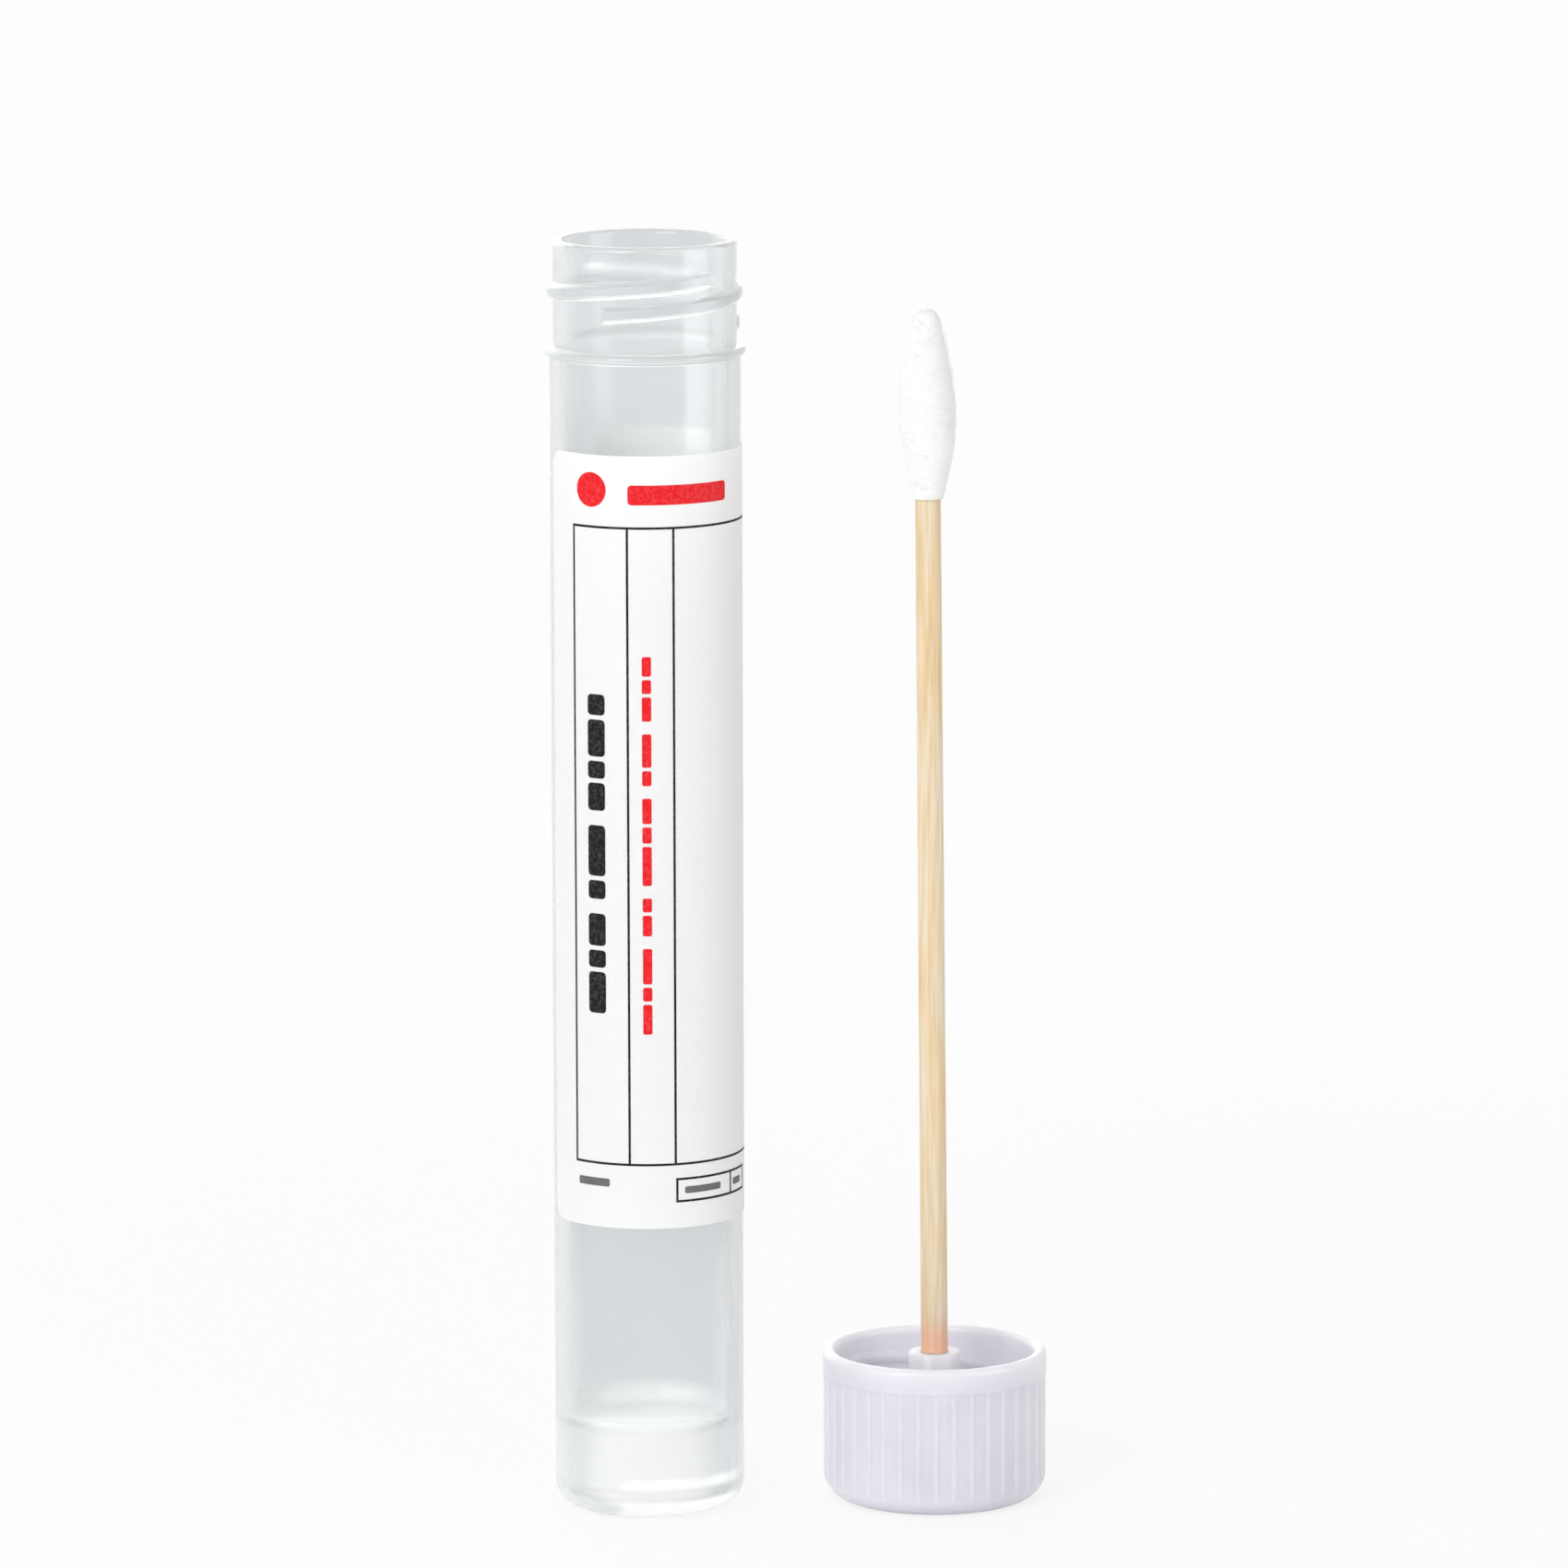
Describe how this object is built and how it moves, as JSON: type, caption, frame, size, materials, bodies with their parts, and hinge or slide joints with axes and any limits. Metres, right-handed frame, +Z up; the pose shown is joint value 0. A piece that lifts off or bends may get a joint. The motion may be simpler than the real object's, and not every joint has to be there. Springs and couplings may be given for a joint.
{
  "type": "specimen swab tube",
  "caption": "Clear screw-neck specimen tube with a wrapped label, standing open beside its ribbed screw cap, which holds a wooden stick with a cotton bud.",
  "frame": {"origin": "centre of the tube's foot, on the surface that the tube stands on", "axes": "+Z up along the tube's axis, +X from the tube towards its cap"},
  "size_m": [0.0434, 0.0207, 0.1112],
  "materials": {
    "clear_plastic": "clear polypropylene, slightly hazy",
    "cap_plastic": "moulded polypropylene, pale lilac white, satin",
    "label_paper": "smooth self-adhesive paper",
    "stick_wood": "plain turned birch",
    "cotton": "wound cotton fibre"
  },
  "bodies": {
    "root": {"tube": "clear_plastic", "label": "label_paper", "cap": "cap_plastic", "stick": "stick_wood", "cotton_bud": "cotton"}
  },
  "joints": []
}
